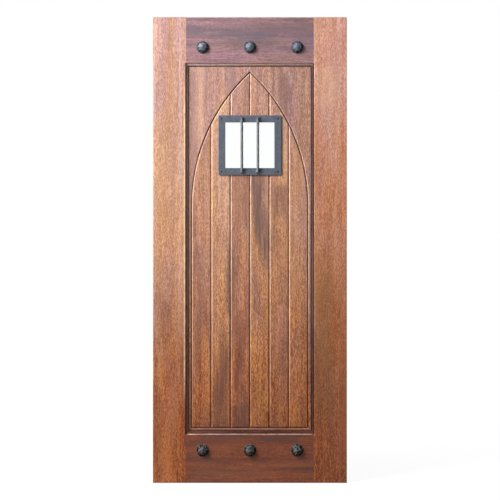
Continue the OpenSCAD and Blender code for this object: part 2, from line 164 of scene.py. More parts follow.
def makeGrainGroup():
    tree, given, made = newGroup("timberGrain", [
        ("Vector", "Vector", None),
        ("Pale", "Color", (0.66, 0.33, 0.15, 1)),
        ("Body", "Color", (0.44, 0.15, 0.055, 1)),
        ("Deep", "Color", (0.2, 0.062, 0.028, 1)),
        ("Smoke", "Color", (0.2, 0.1, 0.09, 1)),
        ("Pith", "Vector", (0.0, 0.1, 0.0)),
        ("Ring Width", "Float", 0.012),
        ("Wander", "Float", 0.02),
        ("Smoke Share", "Float", 0.4),
        ("Stripe", "Float", 1.0),
        ("Fleck", "Float", 0.5),
        ("Fibre", "Float", 1.0),
    ], [("Color", "Color"), ("Tone", "Float"), ("Smoky", "Float"), ("Roughness", "Float"), ("Height", "Float")])

    # slow bends of the trunk, so that no stripe runs dead straight
    bend = noise(tree, given["Vector"], grainMarks["bend"], output="Color")
    bend = scaleVector(tree, calcVector(tree, "SUBTRACT", bend, (0.5, 0.5, 0.5)), given["Wander"])
    bent = calcVector(tree, "ADD", given["Vector"], bend)

    # growth rings about the pith, uneven in width and strength
    outwards = calcVector(tree, "SUBTRACT", bent, given["Pith"])
    radius = vectorLength(tree, calcVector(tree, "MULTIPLY", outwards, (1.0, 1.0, 0.0)))
    ringValues = {"W": calc(tree, "DIVIDE", radius, given["Ring Width"]), "Scale": 1.0,
                  "Detail": grainMarks["ringDetail"], "Roughness": grainMarks["ringRough"]}
    rings = addNode(tree, "ShaderNodeTexNoise", ringValues, noise_dimensions="1D").outputs[0]
    rings = swing(tree, rings, grainMarks["ringSwing"])

    streak = swing(tree, noise(tree, bent, grainMarks["streak"], 3.0, 0.6), grainMarks["streakSwing"])
    fleck = spread(tree, noise(tree, bent, grainMarks["fleck"], 2.0, 0.6), *grainMarks["fleckSpan"])
    fibre = swing(tree, noise(tree, bent, grainMarks["fibre"], 2.0, 0.6), grainMarks["fibreSwing"])
    ribbon = noise(tree, bent, grainMarks["ribbon"], 3.0)
    pores = spread(tree, noise(tree, bent, grainMarks["pores"], 1.0), *grainMarks["poreSpan"])

    stripe = multiply(tree, calc(tree, "ADD", rings, streak), given["Stripe"])
    tone = calc(tree, "ADD", stripe, calc(tree, "ADD", multiply(tree, fibre, given["Fibre"]), 0.5))
    speckle = multiply(tree, calc(tree, "SUBTRACT", fleck, 0.5), given["Fleck"])
    tone = calc(tree, "ADD", tone, speckle, clamp=True)
    colour = mixColour(tree, spread(tree, tone, 0.0, 0.5), given["Deep"], given["Body"])
    colour = mixColour(tree, spread(tree, tone, 0.5, 1.0), colour, given["Pale"])

    # cool smoky bands, then light and dark across the ribbon, then the pores
    band = spread(tree, noise(tree, bent, grainMarks["smoke"], 4.0, 0.6), *grainMarks["smokeSpan"])
    smoky = multiply(tree, band, given["Smoke Share"])
    colour = mixColour(tree, smoky, colour, given["Smoke"])
    colour = scaleVector(tree, colour, spread(tree, ribbon, *noiseSpan, *grainMarks["ribbonRange"]))
    poreShare = multiply(tree, pores, grainMarks["poreShare"])
    colour = mixColour(tree, poreShare, colour, opaque(grainMarks["poreTint"]))

    poreRough = multiply(tree, pores, grainMarks["poreRough"])
    rough = calc(tree, "ADD", multiply(tree, fleck, grainMarks["fleckRough"]), poreRough)
    linkAll(tree, made, {
        "Color": colour, "Tone": tone, "Smoky": smoky, "Height": calc(tree, "SUBTRACT", fibre, pores),
        "Roughness": calc(tree, "ADD", rough, grainMarks["baseRough"]),
    })
    return tree


# heart streak that leans along a board: its centre is taken at the middle of its length
heartMarks = {"waver": (9.0, 9.0, 6.0), "waverReach": 0.05, "mottle": (120.0, 120.0, 7.0),
              "sideFade": (1.2, 0.25), "endFade": (1.1, 0.5), "mottleSpan": (0.3, 0.6), "mottleRange": (0.45, 1.0)}


def makeHeartGroup():
    tree, given, made = newGroup("heartStreak", [
        ("Vector", "Vector", None),
        ("Color", "Color", (0.4, 0.2, 0.1, 1)),
        ("Heart", "Color", (0.2, 0.1, 0.09, 1)),
        ("Centre", "Float", 0.0),
        ("Lean", "Float", 0.0),
        ("Half Width", "Float", 0.02),
        ("Low", "Float", 0.5),
        ("High", "Float", 1.5),
        ("Share", "Float", 0.0),
    ], [("Color", "Color")])
    sides = splitAxes(tree, given["Vector"])
    middle = multiply(tree, calc(tree, "ADD", given["Low"], given["High"]), 0.5)
    reach = multiply(tree, calc(tree, "SUBTRACT", given["High"], given["Low"]), 0.5)
    rise = calc(tree, "SUBTRACT", sides["Z"], middle)
    waver = noise(tree, given["Vector"], heartMarks["waver"], 4.0, 0.6)
    waver = multiply(tree, calc(tree, "SUBTRACT", waver, 0.5), heartMarks["waverReach"])
    drift = calc(tree, "ADD", multiply(tree, rise, given["Lean"]), waver)
    across = calc(tree, "SUBTRACT", calc(tree, "SUBTRACT", sides["X"], given["Centre"]), drift)
    across = calc(tree, "DIVIDE", calc(tree, "ABSOLUTE", across), given["Half Width"])
    along = calc(tree, "DIVIDE", calc(tree, "ABSOLUTE", rise), reach)
    inWidth = spread(tree, across, *heartMarks["sideFade"], curve="SMOOTHSTEP")
    inLength = spread(tree, along, *heartMarks["endFade"], curve="SMOOTHSTEP")
    mottle = noise(tree, given["Vector"], heartMarks["mottle"], 3.0, 0.6)
    mottle = spread(tree, mottle, *heartMarks["mottleSpan"], *heartMarks["mottleRange"])
    share = multiply(tree, multiply(tree, inWidth, inLength), multiply(tree, mottle, given["Share"]))
    tree.links.new(mixColour(tree, share, given["Color"], given["Heart"]), made["Color"])
    return tree


# painted sheen: paler towards the top of the door, cooler in patches and near the top; the foot keeps its deep colour
sheenAndBandMarks = {
    "patch": (22.0, 22.0, 4.0), "patchReach": 0.6, "coolSheen": (15.0, 15.0, 3.4), "coolSheenSpan": (0.46, 0.62),
    "coolSheenShare": 0.4, "coolSheenHeights": (1.2, 1.8), "coolSheenAtTop": 0.8,
    "darkGrain": (0.8, 0.68, 0.56), "paleGrain": (1.2, 1.3, 1.4), "smokyGrain": (0.66, 0.58, 0.63),
    "drift": (26.0, 26.0, 2.8), "driftSpan": (0.38, 0.62), "golden": (1.045, 1.028, 0.88), "purple": (0.96, 0.955, 1.1),
}


def makeSheenAndBandGroup():
    tree, given, made = newGroup("paintedSheenAndBands", [
        ("Vector", "Vector", None),
        ("Color", "Color", (0.4, 0.2, 0.1, 1)),
        ("Sheen Colour", "Color", (0.7, 0.43, 0.27, 1)),
        ("Cool Sheen Colour", "Color", (0.5, 0.34, 0.34, 1)),
        ("Grain Vector", "Vector", None),
        ("Tone", "Float", 0.5),
        ("Smoky", "Float", 0.0),
        ("Low", "Float", 0.2),
        ("High", "Float", 1.5),
        ("Amount", "Float", 0.4),
        ("Banding", "Float", 1.0),
    ], [("Color", "Color")])
    patch = calc(tree, "SUBTRACT", noise(tree, given["Vector"], sheenAndBandMarks["patch"], 3.0), 0.5)
    height = splitAxes(tree, given["Vector"])["Z"]
    height = calc(tree, "ADD", height, multiply(tree, patch, sheenAndBandMarks["patchReach"]))
    sheenByHeight = spread(tree, height, given["Low"], given["High"], curve="SMOOTHSTEP")
    share = multiply(tree, sheenByHeight, given["Amount"])
    coolSheen = spread(tree, noise(tree, given["Vector"], sheenAndBandMarks["coolSheen"], 4.0, 0.6), *sheenAndBandMarks["coolSheenSpan"])
    higher = spread(tree, height, *sheenAndBandMarks["coolSheenHeights"], 0.0, sheenAndBandMarks["coolSheenAtTop"])
    coolSheen = calc(tree, "ADD", multiply(tree, coolSheen, sheenAndBandMarks["coolSheenShare"]), higher, clamp=True)
    grained = mixColour(tree, given["Tone"], opaque(sheenAndBandMarks["darkGrain"]), opaque(sheenAndBandMarks["paleGrain"]))
    smoked = calcVector(tree, "MULTIPLY", grained, sheenAndBandMarks["smokyGrain"])
    grained = mixColour(tree, given["Smoky"], grained, smoked)
    pale = calcVector(tree, "MULTIPLY", mixColour(tree, coolSheen, given["Sheen Colour"], given["Cool Sheen Colour"]), grained)

    # golden and purple bands along the grain
    drift = spread(tree, noise(tree, given["Grain Vector"], sheenAndBandMarks["drift"], 3.0, 0.6), *sheenAndBandMarks["driftSpan"])
    hue = mixColour(tree, drift, opaque(sheenAndBandMarks["golden"]), opaque(sheenAndBandMarks["purple"]))
    hue = mixColour(tree, given["Banding"], (1.0, 1.0, 1.0, 1.0), hue)
    colour = calcVector(tree, "MULTIPLY", mixColour(tree, share, given["Color"], pale), hue)
    tree.links.new(colour, made["Color"])
    return tree


# painted shade in the bottom of a groove and on marked flanks, by the depth below the face, and darker towards the foot
grooveShadeMarks = {"patch": (60.0, 60.0, 12.0), "patchRange": (0.88, 1.0), "footHeights": (0.34, 0.24),
              "bottom": (0.7, 1.0), "flank": (0.3, 0.55), "dulled": 0.3}


def makeGrooveShadeGroup():
    tree, given, made = newGroup("paintedGrooveShade", [
        ("Vector", "Vector", None),
        ("Color", "Color", (0.4, 0.2, 0.1, 1)),
        ("Roughness", "Float", 0.4),
        ("Shade Colour", "Color", (0.03, 0.014, 0.01, 1)),
        ("Mask", "Float", 0.0),
        ("Face", "Float", 0.011),
        ("Depth", "Float", 0.004),
        ("Amount", "Float", 0.8),
        ("Foot", "Float", 0.0),
    ], [("Color", "Color"), ("Roughness", "Float")])
    sides = splitAxes(tree, given["Vector"])
    sunk = calc(tree, "SUBTRACT", given["Face"], calc(tree, "ABSOLUTE", sides["Y"]))
    sunk = calc(tree, "DIVIDE", sunk, given["Depth"])
    foot = multiply(tree, spread(tree, sides["Z"], *grooveShadeMarks["footHeights"]), given["Foot"])
    patch = noise(tree, given["Vector"], grooveShadeMarks["patch"], 3.0)
    patch = spread(tree, patch, *noiseSpan, *grooveShadeMarks["patchRange"])
    flank = multiply(tree, spread(tree, sunk, *grooveShadeMarks["flank"]), given["Mask"])
    darkened = calc(tree, "MAXIMUM", spread(tree, sunk, *grooveShadeMarks["bottom"]), flank)
    darkened = calc(tree, "MAXIMUM", darkened, foot)
    share = multiply(tree, darkened, multiply(tree, patch, given["Amount"]))
    dulled = multiply(tree, share, grooveShadeMarks["dulled"])
    linkAll(tree, made, {
        "Color": mixColour(tree, share, given["Color"], given["Shade Colour"]),
        "Roughness": calc(tree, "ADD", given["Roughness"], dulled),
    })
    return tree


# paler arrises and groove flanks: partly varnish worn thin, partly painted highlight where light catches them
rubHighlightMarks = {"patch": (40.0, 40.0, 40.0), "patchSpan": (0.35, 0.65), "patchRange": (0.4, 1.0), "dulled": 0.15}


def makeRubHighlightGroup():
    tree, given, made = newGroup("rubAndPaintedHighlight", [
        ("Vector", "Vector", None),
        ("Color", "Color", (0.4, 0.2, 0.1, 1)),
        ("Roughness", "Float", 0.4),
        ("Mask", "Float", 0.0),
        ("Bare And Highlight", "Color", (0.6, 0.38, 0.22, 1)),
        ("Amount", "Float", 0.5),
    ], [("Color", "Color"), ("Roughness", "Float")])
    patch = noise(tree, given["Vector"], rubHighlightMarks["patch"], 3.0)
    patch = spread(tree, patch, *rubHighlightMarks["patchSpan"], *rubHighlightMarks["patchRange"])
    share = multiply(tree, multiply(tree, given["Mask"], given["Amount"]), patch)
    dulled = multiply(tree, share, rubHighlightMarks["dulled"])
    linkAll(tree, made, {
        "Color": mixColour(tree, share, given["Color"], given["Bare And Highlight"]),
        "Roughness": calc(tree, "ADD", given["Roughness"], dulled),
    })
    return tree


# hammer marks and scale on forged iron
forgeMarks = {"spots": (160.0, 160.0, 160.0), "grit": (900.0, 900.0, 900.0), "soften": 0.6, "spotShare": 0.8,
              "dentShare": 0.35, "toneSpan": (0.25, 0.85), "toneSwing": 0.5, "roughRange": (0.34, 0.52),
              "gritHeight": 0.12, "bump": 0.5}


def makeForgeGroup():
    tree, given, made = newGroup("forgedSkin", [
        ("Vector", "Vector", None),
        ("Dark", "Color", (0.05, 0.055, 0.065, 1)),
        ("Light", "Color", (0.16, 0.18, 0.21, 1)),
        ("Marks Per Metre", "Float", 80.0),
        ("Polish", "Float", 0.0),
        ("Mottle", "Float", 1.0),
        ("Facet", "Float", 0.0),
    ], [("Color", "Color"), ("Roughness", "Float"), ("Height", "Float")])
    dentValues = {"Vector": given["Vector"], "Scale": given["Marks Per Metre"], "Smoothness": forgeMarks["soften"]}
    dents = addNode(tree, "ShaderNodeTexVoronoi", dentValues, feature="SMOOTH_F1").outputs["Distance"]
    spots = noise(tree, given["Vector"], forgeMarks["spots"], 4.0, 0.6)
    grit = noise(tree, given["Vector"], forgeMarks["grit"])
    dented = multiply(tree, dents, forgeMarks["dentShare"])
    tone = calc(tree, "ADD", multiply(tree, spots, forgeMarks["spotShare"]), dented)
    tone = spread(tree, tone, *forgeMarks["toneSpan"], -forgeMarks["toneSwing"], forgeMarks["toneSwing"])
    tone = multiply(tree, tone, given["Mottle"])
    tone = calc(tree, "ADD", calc(tree, "ADD", tone, 0.5), given["Facet"], clamp=True)
    rough = spread(tree, spots, *noiseSpan, *forgeMarks["roughRange"])
    linkAll(tree, made, {
        "Color": mixColour(tree, tone, given["Dark"], given["Light"]),
        "Roughness": calc(tree, "SUBTRACT", rough, given["Polish"]),
        "Height": calc(tree, "ADD", dents, multiply(tree, grit, forgeMarks["gritHeight"])),
    })
    return tree


grainGroup = makeGrainGroup()
heartGroup = makeHeartGroup()
sheenAndBandGroup = makeSheenAndBandGroup()
grooveShadeGroup = makeGrooveShadeGroup()
rubHighlightGroup = makeRubHighlightGroup()
forgeGroup = makeForgeGroup()
print("shared shader groups built")

# where the masks of painted highlight and painted shade on timber end, in metres
maskEdges = {"highlightHeights": (0.3, 1.1), "rub": 0.004, "grooveShade": 0.002, "margin": (0.0115, 0.0075)}


# paler arrises are partly a painted highlight: it thins towards the foot, stops beyond a reach across and can add a
# band
def rubHighlightMask(tree, sides, outwards, cut):
    heights = spread(tree, sides["Z"], *maskEdges["highlightHeights"], cut["highlightAtFoot"], 1.0)
    mask = multiply(tree, faceMark(tree, "arris"), heights)
    within = spread(tree, outwards, cut["highlightReach"], cut["highlightReach"] - maskEdges["rub"])
    mask = multiply(tree, mask, within)
    if cut["highlightBandTo"]:
        margin = spread(tree, outwards, *(cut["highlightBandTo"] + edge for edge in maskEdges["margin"]))
        away = calc(tree, "ABSOLUTE", calc(tree, "SUBTRACT", sides["Z"], cut["highlightBandMiddle"]))
        beside = spread(tree, away, cut["highlightBandHalf"], cut["highlightBandHalf"] - cut["highlightBandFade"])
        mask = multiply(tree, calc(tree, "MAXIMUM", mask, margin), beside)
    return mask


# varnished timber with its own cut, tint and grain direction
def timberMaterial(name, cut):
    material, tree, shader, place = newMaterial(name)
    turn = (0.0, math.pi / 2, 0.0) if cut["grain"] == "level" else (0.0, 0.0, 0.0)
    lengthwise = addNode(tree, "ShaderNodeMapping", {"Vector": place, "Rotation": turn}).outputs[0]
    shifted = {"Vector": place, "Rotation": turn, "Location": cut["shift"]}
    mapped = addNode(tree, "ShaderNodeMapping", shifted).outputs[0]
    grain = placeGroup(tree, grainGroup, {
        "Vector": mapped, "Pale": opaque(cut["pale"]), "Body": opaque(cut["body"]), "Deep": opaque(cut["deep"]),
        "Smoke": opaque(cut["smoke"]), "Pith": cut["pith"], "Ring Width": cut["ringWidth"], "Wander": cut["wander"],
        "Smoke Share": cut["smokeShare"], "Stripe": cut["stripe"], "Fleck": cut["fleck"], "Fibre": cut["fibre"],
    })
    # painted sheen: paler towards the top and cooler in patches near the top, with golden and purple bands along the
    # grain
    colour = placeGroup(tree, sheenAndBandGroup, {
        "Vector": place, "Color": grain["Color"], "Sheen Colour": opaque(cut["sheenColour"]), "Cool Sheen Colour": opaque(cut["coolSheenColour"]),
        "Grain Vector": mapped, "Tone": grain["Tone"], "Smoky": grain["Smoky"],
        "Low": cut["sheenLow"], "High": cut["sheenHigh"], "Amount": cut["fade"], "Banding": cut["banding"],
    })["Color"]
    for streak in cut["hearts"]:
        values = {**heart, **streak}
        colour = placeGroup(tree, heartGroup, {
            "Vector": lengthwise, "Color": colour, "Heart": opaque(values["tint"]), "Centre": values["at"],
            "Lean": values["lean"], "Half Width": values["half"], "Low": values["low"], "High": values["high"],
            "Share": values["share"],
        })["Color"]
    sides = splitAxes(tree, place)
    outwards = calc(tree, "ABSOLUTE", sides["X"])
    highlit = placeGroup(tree, rubHighlightGroup, {
        "Vector": place, "Color": colour, "Roughness": grain["Roughness"],
        "Mask": rubHighlightMask(tree, sides, outwards, cut), "Bare And Highlight": opaque(cut["bareAndHighlight"]), "Amount": cut["rub"],
    })
    # painted shade in the grooves, which each piece can stop short across, below a height, or leave out
    edge = maskEdges["grooveShade"]
    shadeSpread = spread(tree, outwards, cut["shadeReach"], cut["shadeReach"] - edge, 0.0, cut["shadeShare"])
    shadeSpread = multiply(tree, shadeSpread, spread(tree, sides["Z"], cut["shadeTop"], cut["shadeTop"] - edge))
    shaded = placeGroup(tree, grooveShadeGroup, {
        "Vector": place, "Color": highlit["Color"], "Roughness": highlit["Roughness"], "Shade Colour": opaque(cut["grooveShade"]),
        "Mask": faceMark(tree, "groove"), "Face": cut["shadeFace"], "Depth": cut["shadeDepth"],
        "Amount": shadeSpread, "Foot": cut["footDarkening"],
    })
    linkAll(tree, shader, {"Base Color": shaded["Color"], "Roughness": shaded["Roughness"]})
    addBump(tree, shader, grain["Height"], grainMarks["bump"], grainMarks["bumpDepth"])
    shader["Specular IOR Level"].default_value = cut["gloss"]
    return material


def ironMaterial(name, skin):
    material, tree, shader, place = newMaterial(name)
    forged = placeGroup(tree, forgeGroup, {
        "Vector": place, "Dark": opaque(skin["dark"]), "Light": opaque(skin["light"]),
        "Marks Per Metre": skin["marks"], "Polish": skin["polish"], "Mottle": skin["mottle"],
        "Facet": faceMark(tree, "facet"),
    })
    linkAll(tree, shader, {"Base Color": forged["Color"], "Roughness": forged["Roughness"]})
    addBump(tree, shader, forged["Height"], forgeMarks["bump"], skin["depth"])
    shader["Metallic"].default_value = skin["metallic"]
    shader["Specular IOR Level"].default_value = skin["gloss"]
    return material


# limits for easing: slopes and arcs by their normal, narrow and short in multiples of the ease
easing = {"weld": 2e-6, "flatAngle": math.radians(0.5), "arrisAngle": math.radians(32), "sharpAngle": math.radians(28),
          "slope": (0.3, 0.9), "arcAcross": 0.1, "arcUp": 0.2, "narrow": 3, "short": 6}


# a copy of a CAD piece with its long arrises eased: the face attribute "arris" marks those and, by flank, the
# straight sloping faces, and "groove" marks, by archFlank, the sides of the arch, which get painted shade
def easedCopy(nodeName, ease, flank=0.0, archFlank=0.0):
    work = bmesh.new()
    work.from_mesh(nodes[nodeName].data)
    arris = work.faces.layers.float.new("arris")
    groove = work.faces.layers.float.new("groove")
    bmesh.ops.remove_doubles(work, verts=work.verts, dist=easing["weld"])
    bmesh.ops.dissolve_limit(work, angle_limit=easing["flatAngle"], verts=work.verts, edges=work.edges)
    slopeLow, slopeHigh = easing["slope"]
    for face in work.faces:
        if slopeLow < abs(face.normal.y) < slopeHigh:
            curved = abs(face.normal.x) > easing["arcAcross"] and abs(face.normal.z) > easing["arcUp"]
            face[groove if curved else arris] = archFlank if curved else flank
    narrow = {face for face in work.faces
              if face.calc_area() / max(edge.calc_length() for edge in face.edges) < easing["narrow"] * ease}
    arrises = [edge for edge in work.edges
               if edge.is_manifold and edge.is_convex and edge.calc_length() > easing["short"] * ease
               and edge.calc_face_angle() > easing["arrisAngle"] and not narrow.intersection(edge.link_faces)]
    eased = bmesh.ops.bevel(work, geom=arrises, offset=ease, offset_type="OFFSET", segments=2, profile=0.5,
                            affect="EDGES", clamp_overlap=False)
    for face in eased["faces"]:
        face[arris] = 1.0
    bmesh.ops.dissolve_degenerate(work, dist=easing["weld"], edges=work.edges)
    for face in work.faces:
        face.smooth = True
    mesh = bpy.data.meshes.new(nodeName)
    work.to_mesh(mesh)
    work.free()
    mesh.set_sharp_from_angle(angle=easing["sharpAngle"])
    return mesh


# gives a piece the mesh that its modifier makes
def applyModifier(piece, modifier):
    graph = bpy.context.evaluated_depsgraph_get()
    whole = piece.evaluated_get(graph)
    mesh = bpy.data.meshes.new_from_object(whole, preserve_all_data_layers=True, depsgraph=graph)
    piece.modifiers.remove(modifier)
    piece.data = mesh


def putPiece(name, mesh, material, replaced):
    mesh.materials.clear()
    mesh.materials.append(material)
    piece = bpy.data.objects.new(name, mesh)
    scene.collection.objects.link(piece)
    # flat faces keep flat shading next to their eased edges
    modifier = piece.modifiers.new("levelNormals", "WEIGHTED_NORMAL")
    modifier.keep_sharp = True
    applyModifier(piece, modifier)
    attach(piece, "root")
    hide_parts(*replaced)


def makeTimber(name, nodeName, cut):
    values = {**timber, **cut}
    mesh = easedCopy(nodeName, values["ease"], values["flank"], values["archFlank"])
    putPiece(name, mesh, timberMaterial(name, values), [nodeName])


# what every heart streak shares: at is its place across the board, low and high are its ends along it
heart = {"tint": (0.13, 0.06, 0.052), "lean": 0.0, "half": 0.03, "share": 0.9}

# what every piece of timber shares unless its own dictionary says otherwise
timber = {
    "grain": "up", "shift": (0.0, 0.0, 0.0), "ease": 0.0007, "flank": 0.8, "archFlank": 0.5, "gloss": 0.3,
    "pale": (0.60, 0.238, 0.076), "body": (0.42, 0.121, 0.034), "deep": (0.18, 0.04, 0.011),
    "pith": (0.03, 0.09, 0.0), "ringWidth": 0.011, "wander": 0.03, "stripe": 1.0, "fleck": 0.85, "fibre": 1.0,
    "smoke": (0.21, 0.10, 0.085), "smokeShare": 0.4, "hearts": [],
    # the paler and cooler colours and the heights and share below are painted sheen towards the top
    "sheenColour": (0.74, 0.47, 0.31), "coolSheenColour": (0.60, 0.43, 0.40), "sheenLow": 0.2, "sheenHigh": 1.35, "fade": 0.42,
    "banding": 1.0,
    # the paler colour on arrises and flanks: partly wear, partly painted highlight, weaker towards the foot
    "bareAndHighlight": (0.90, 0.62, 0.45), "rub": 0.65, "highlightAtFoot": 0.2, "highlightReach": 1.0,
    "highlightBandTo": 0.0, "highlightBandMiddle": 1.07, "highlightBandHalf": 0.73, "highlightBandFade": 0.15,
    # the colour and the limits of the painted shade in grooves and quirks
    "grooveShade": (0.036, 0.012, 0.008), "shadeFace": 0.011, "shadeDepth": 0.005, "shadeShare": 0.85,
    "shadeReach": 1.0, "shadeTop": 3.0, "footDarkening": 0.0,
}

leftStile = {
    "pale": (0.52, 0.19, 0.06), "body": (0.345, 0.09, 0.029), "sheenColour": (0.79, 0.52, 0.37),
    "pith": (-0.36, 0.14, 0.0), "smokeShare": 0.25, "fade": 0.52, "ease": 0.0008,
    # a paler band along the inner edge is a painted highlight
    "bareAndHighlight": (1.0, 0.66, 0.38), "rub": 0.85, "highlightAtFoot": 0.7, "highlightBandTo": 0.279, "shadeShare": 0.0,
    "shift": (0.0, 0.0, 3.1),
}
rightStile = {
    "pale": (0.47, 0.168, 0.055), "body": (0.315, 0.085, 0.026), "sheenColour": (0.77, 0.34, 0.165),
    "coolSheenColour": (0.87, 0.51, 0.42), "pith": (0.33, 0.16, 0.0), "smokeShare": 0.25, "fade": 0.58, "ease": 0.0008,
    "rub": 0.0, "stripe": 0.7, "fleck": 1.0, "banding": 0.35, "shadeShare": 0.0, "shift": (0.0, 0.0, 7.7),
    "hearts": [
        {"tint": (0.24, 0.135, 0.055), "at": 0.315, "half": 0.06, "low": 0.25, "high": 1.05, "share": 0.4},
        {"tint": (0.40, 0.135, 0.05), "at": 0.412, "half": 0.03, "low": 0.05, "high": 0.75, "share": 0.5},
        {"tint": (0.88, 0.52, 0.32), "at": 0.345, "half": 0.06, "low": 1.62, "high": 1.84, "share": 0.35},
    ],
}
topRail = {
    "grain": "level", "pale": (0.39, 0.212, 0.212), "body": (0.255, 0.126, 0.14), "deep": (0.125, 0.065, 0.087),
    "smoke": (0.14, 0.095, 0.125), "smokeShare": 0.7, "fade": 0.08, "gloss": 0.4, "pith": (-1.9, 0.12, 0.0),
    "ringWidth": 0.03, "stripe": 0.8, "fleck": 0.5, "shadeShare": 0.0, "shift": (0.0, 0.0, 1.3),
    "hearts": [
        {"tint": (0.115, 0.092, 0.125), "at": 1.961, "lean": 0.084, "half": 0.028, "low": -0.15, "high": 0.36,
         "share": 0.85},
    ],
}
bottomRail = {
    "grain": "level", "pale": (0.36, 0.125, 0.058), "body": (0.25, 0.07, 0.031), "deep": (0.11, 0.027, 0.014),
    "smoke": (0.10, 0.045, 0.036), "smokeShare": 0.65, "fade": 0.0, "pith": (-0.1, 0.12, 0.0),
    "ringWidth": 0.03, "stripe": 0.7, "fleck": 0.4, "fibre": 0.5, "ease": 0.0012,
    "bareAndHighlight": (0.96, 0.76, 0.62), "rub": 0.72, "highlightAtFoot": 0.9, "highlightReach": 0.274, "shadeShare": 0.0,
    "shift": (0.0, 0.0, 5.2),
    "hearts": [
        {"tint": (0.075, 0.045, 0.045), "at": 0.192, "half": 0.018, "low": -0.24, "high": -0.02, "share": 0.6},
        {"tint": (0.30, 0.088, 0.034), "at": 0.165, "half": 0.03, "low": -0.03, "high": 0.25, "share": 0.4},
        {"tint": (0.28, 0.125, 0.075), "at": 0.04, "half": 0.035, "low": -0.1, "high": 0.28, "share": 0.3},
    ],
}
makeTimber("leftStile", "left_stile", leftStile)
makeTimber("rightStile", "right_stile", rightStile)
makeTimber("topRail", "top_rail", topRail)
makeTimber("bottomRail", "bottom_rail", bottomRail)
print("stiles and rails made")

# panel: what the spandrels share and what the boards share, then each piece
# the spandrels' painted shade fills their quirks and stops below the head; on the left it stops short of the quirk
spandrel = {"gloss": 0.15, "shadeShare": 1.0, "shadeDepth": 0.0035, "shadeTop": 1.813}
# the boards turn darker towards the foot
plank = {"footDarkening": 0.32}
leftSpandrel = {
    **spandrel, "body": (0.40, 0.135, 0.053), "sheenColour": (0.74, 0.48, 0.355), "pith": (-0.2, 0.11, 0.0),
    "smokeShare": 0.45, "fade": 0.5, "highlightAtFoot": 0.6, "grooveShade": (0.018, 0.006, 0.004), "shadeReach": 0.264,
    "shift": (0.0, 0.0, 12.4),
    "hearts": [
        {"tint": (0.3, 0.19, 0.19), "at": -0.083, "half": 0.018, "low": 1.58, "high": 1.92, "share": 0.8},
        {"tint": (0.36, 0.22, 0.22), "at": -0.251, "half": 0.015, "low": 0.8, "high": 2.0, "share": 0.7},
        {"tint": (0.74, 0.46, 0.33), "at": -0.215, "half": 0.02, "low": 1.2, "high": 2.1, "share": 0.4},
    ],
}
rightSpandrel = {
    **spandrel, "pale": (0.54, 0.24, 0.11), "body": (0.32, 0.108, 0.05), "sheenColour": (0.66, 0.44, 0.38),
    "coolSheenColour": (0.60, 0.45, 0.46), "pith": (0.2, 0.11, 0.0), "smokeShare": 0.65, "fade": 0.38, "archFlank": 0.2,
    "highlightAtFoot": 0.0, "grooveShade": (0.024, 0.009, 0.007), "shift": (0.0, 0.0, 15.9),
    "hearts": [{"tint": (0.22, 0.125, 0.12), "at": 0.148, "half": 0.03, "low": 1.62, "high": 1.8, "share": 0.7}],
}
plank1 = {
    **plank, "sheenColour": (0.64, 0.45, 0.365), "smokeShare": 0.5, "pith": (-0.24, 0.08, 0.0), "fade": 0.36,
    "shift": (0.0, 0.0, 20.3),
}
plank2 = {
    **plank, "pale": (0.64, 0.28, 0.10), "body": (0.46, 0.15, 0.048), "coolSheenColour": (0.70, 0.53, 0.38),
    "pith": (-0.11, 0.12, 0.0), "smokeShare": 0.15, "fade": 0.54, "shift": (0.0, 0.0, 24.8),
    "hearts": [
        {"tint": (0.145, 0.058, 0.042), "at": -0.13, "lean": 0.05, "half": 0.04, "low": -0.12, "high": 0.7},
        {"at": -0.089, "half": 0.02, "low": 0.7, "high": 1.08, "share": 0.75},
    ],
}
plank3 = {
    **plank, "pale": (0.56, 0.21, 0.08), "body": (0.36, 0.10, 0.037), "coolSheenColour": (0.54, 0.43, 0.43),
    "smokeShare": 0.5, "pith": (-0.06, 0.07, 0.0), "fade": 0.36, "highlightAtFoot": 0.0, "shift": (0.0, 0.0, 28.6),
    "hearts": [
        {"tint": (0.15, 0.052, 0.038), "at": -0.055, "lean": 0.03, "half": 0.026, "low": -0.35, "high": 0.82,
         "share": 0.75},
        {"tint": (0.105, 0.05, 0.042), "at": -0.043, "half": 0.05, "low": 0.2, "high": 0.36, "share": 0.6},
        {"tint": (0.16, 0.08, 0.066), "at": -0.08, "half": 0.024, "low": 0.72, "high": 1.06, "share": 0.5},
        {"tint": (0.21, 0.095, 0.08), "at": -0.024, "half": 0.03, "low": 1.08, "high": 1.5, "share": 0.55},
    ],
}
plank4 = {
    **plank, "archFlank": 0.25, "pale": (0.68, 0.30, 0.092), "body": (0.49, 0.16, 0.044),
    "coolSheenColour": (0.56, 0.44, 0.44), "smokeShare": 0.3, "fade": 0.40, "shift": (0.0, 0.0, 33.1),
    "hearts": [
        {"tint": (0.17, 0.095, 0.086), "at": 0.040, "lean": -0.14, "half": 0.041, "low": 0.88, "high": 1.57,
         "share": 1.0},
    ],
}
plank5 = {
    **plank, "archFlank": 0.25, "body": (0.42, 0.125, 0.039), "coolSheenColour": (0.66, 0.49, 0.44),
    "pith": (0.11, 0.1, 0.0), "shift": (0.0, 0.0, 38.4),
    "hearts": [
        {"tint": (0.2, 0.095, 0.082), "at": 0.136, "half": 0.055, "low": 1.15, "high": 1.32, "share": 0.7},
        {"tint": (0.72, 0.47, 0.35), "at": 0.154, "low": 1.32, "high": 1.66, "share": 0.4},
    ],
}
plank6 = {**plank, "body": (0.45, 0.14, 0.044), "pith": (0.25, 0.08, 0.0), "fade": 0.44, "shift": (0.0, 0.0, 42.2)}
